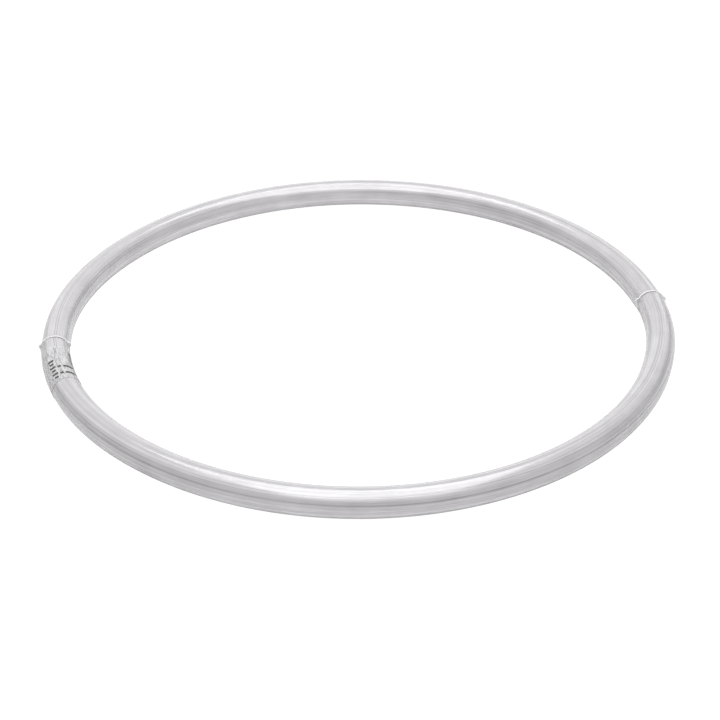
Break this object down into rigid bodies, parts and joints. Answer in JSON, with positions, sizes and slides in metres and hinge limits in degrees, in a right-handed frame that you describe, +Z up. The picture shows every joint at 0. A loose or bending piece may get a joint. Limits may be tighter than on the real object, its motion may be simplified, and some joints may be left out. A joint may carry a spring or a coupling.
{
  "type": "rhythmic gymnastics hoop",
  "caption": "Round hoop of hollow translucent plastic tube in two half rings, pushed onto ribbed connector plugs with thin eared collars, with a clear label film.",
  "frame": {"origin": "centre of the underside of the hoop lying flat, midway between the two joints, at the level of the collars' undersides", "axes": "+Z up along the ring's axis, +X from the left joint to the right joint, +Y from the near half to the far half, the way the far half pulls off"},
  "size_m": [0.5874, 0.5798, 0.0272],
  "materials": {
    "natural_plastic": "milky translucent, glossy, with fine lengthways drawing lines",
    "plug_plastic": "moulded natural plastic, satin",
    "label_film": "clear wrinkled film with dark print"
  },
  "bodies": {
    "near_half": {"near_half_tube": "natural_plastic", "label_film": "label_film"},
    "far_half": {"far_half_tube": "natural_plastic"},
    "left_connector": {"left_plug": "plug_plastic"},
    "right_connector": {"right_plug": "plug_plastic"}
  },
  "joints": [
    {"name": "far_half_pull", "type": "slide", "parent": "near_half", "child": "far_half", "axis": [0, 1, 0], "range_m": [0, 0.08]},
    {"name": "left_connector_pull", "type": "slide", "parent": "near_half", "child": "left_connector", "axis": [0, 1, 0], "range_m": [0, 0.04]},
    {"name": "right_connector_pull", "type": "slide", "parent": "near_half", "child": "right_connector", "axis": [0, 1, 0], "range_m": [0, 0.04]}
  ],
  "couplings": [
    {"joint": "left_connector_pull", "follows": "far_half_pull", "ratio": 0.5},
    {"joint": "right_connector_pull", "follows": "far_half_pull", "ratio": 0.5}
  ]
}
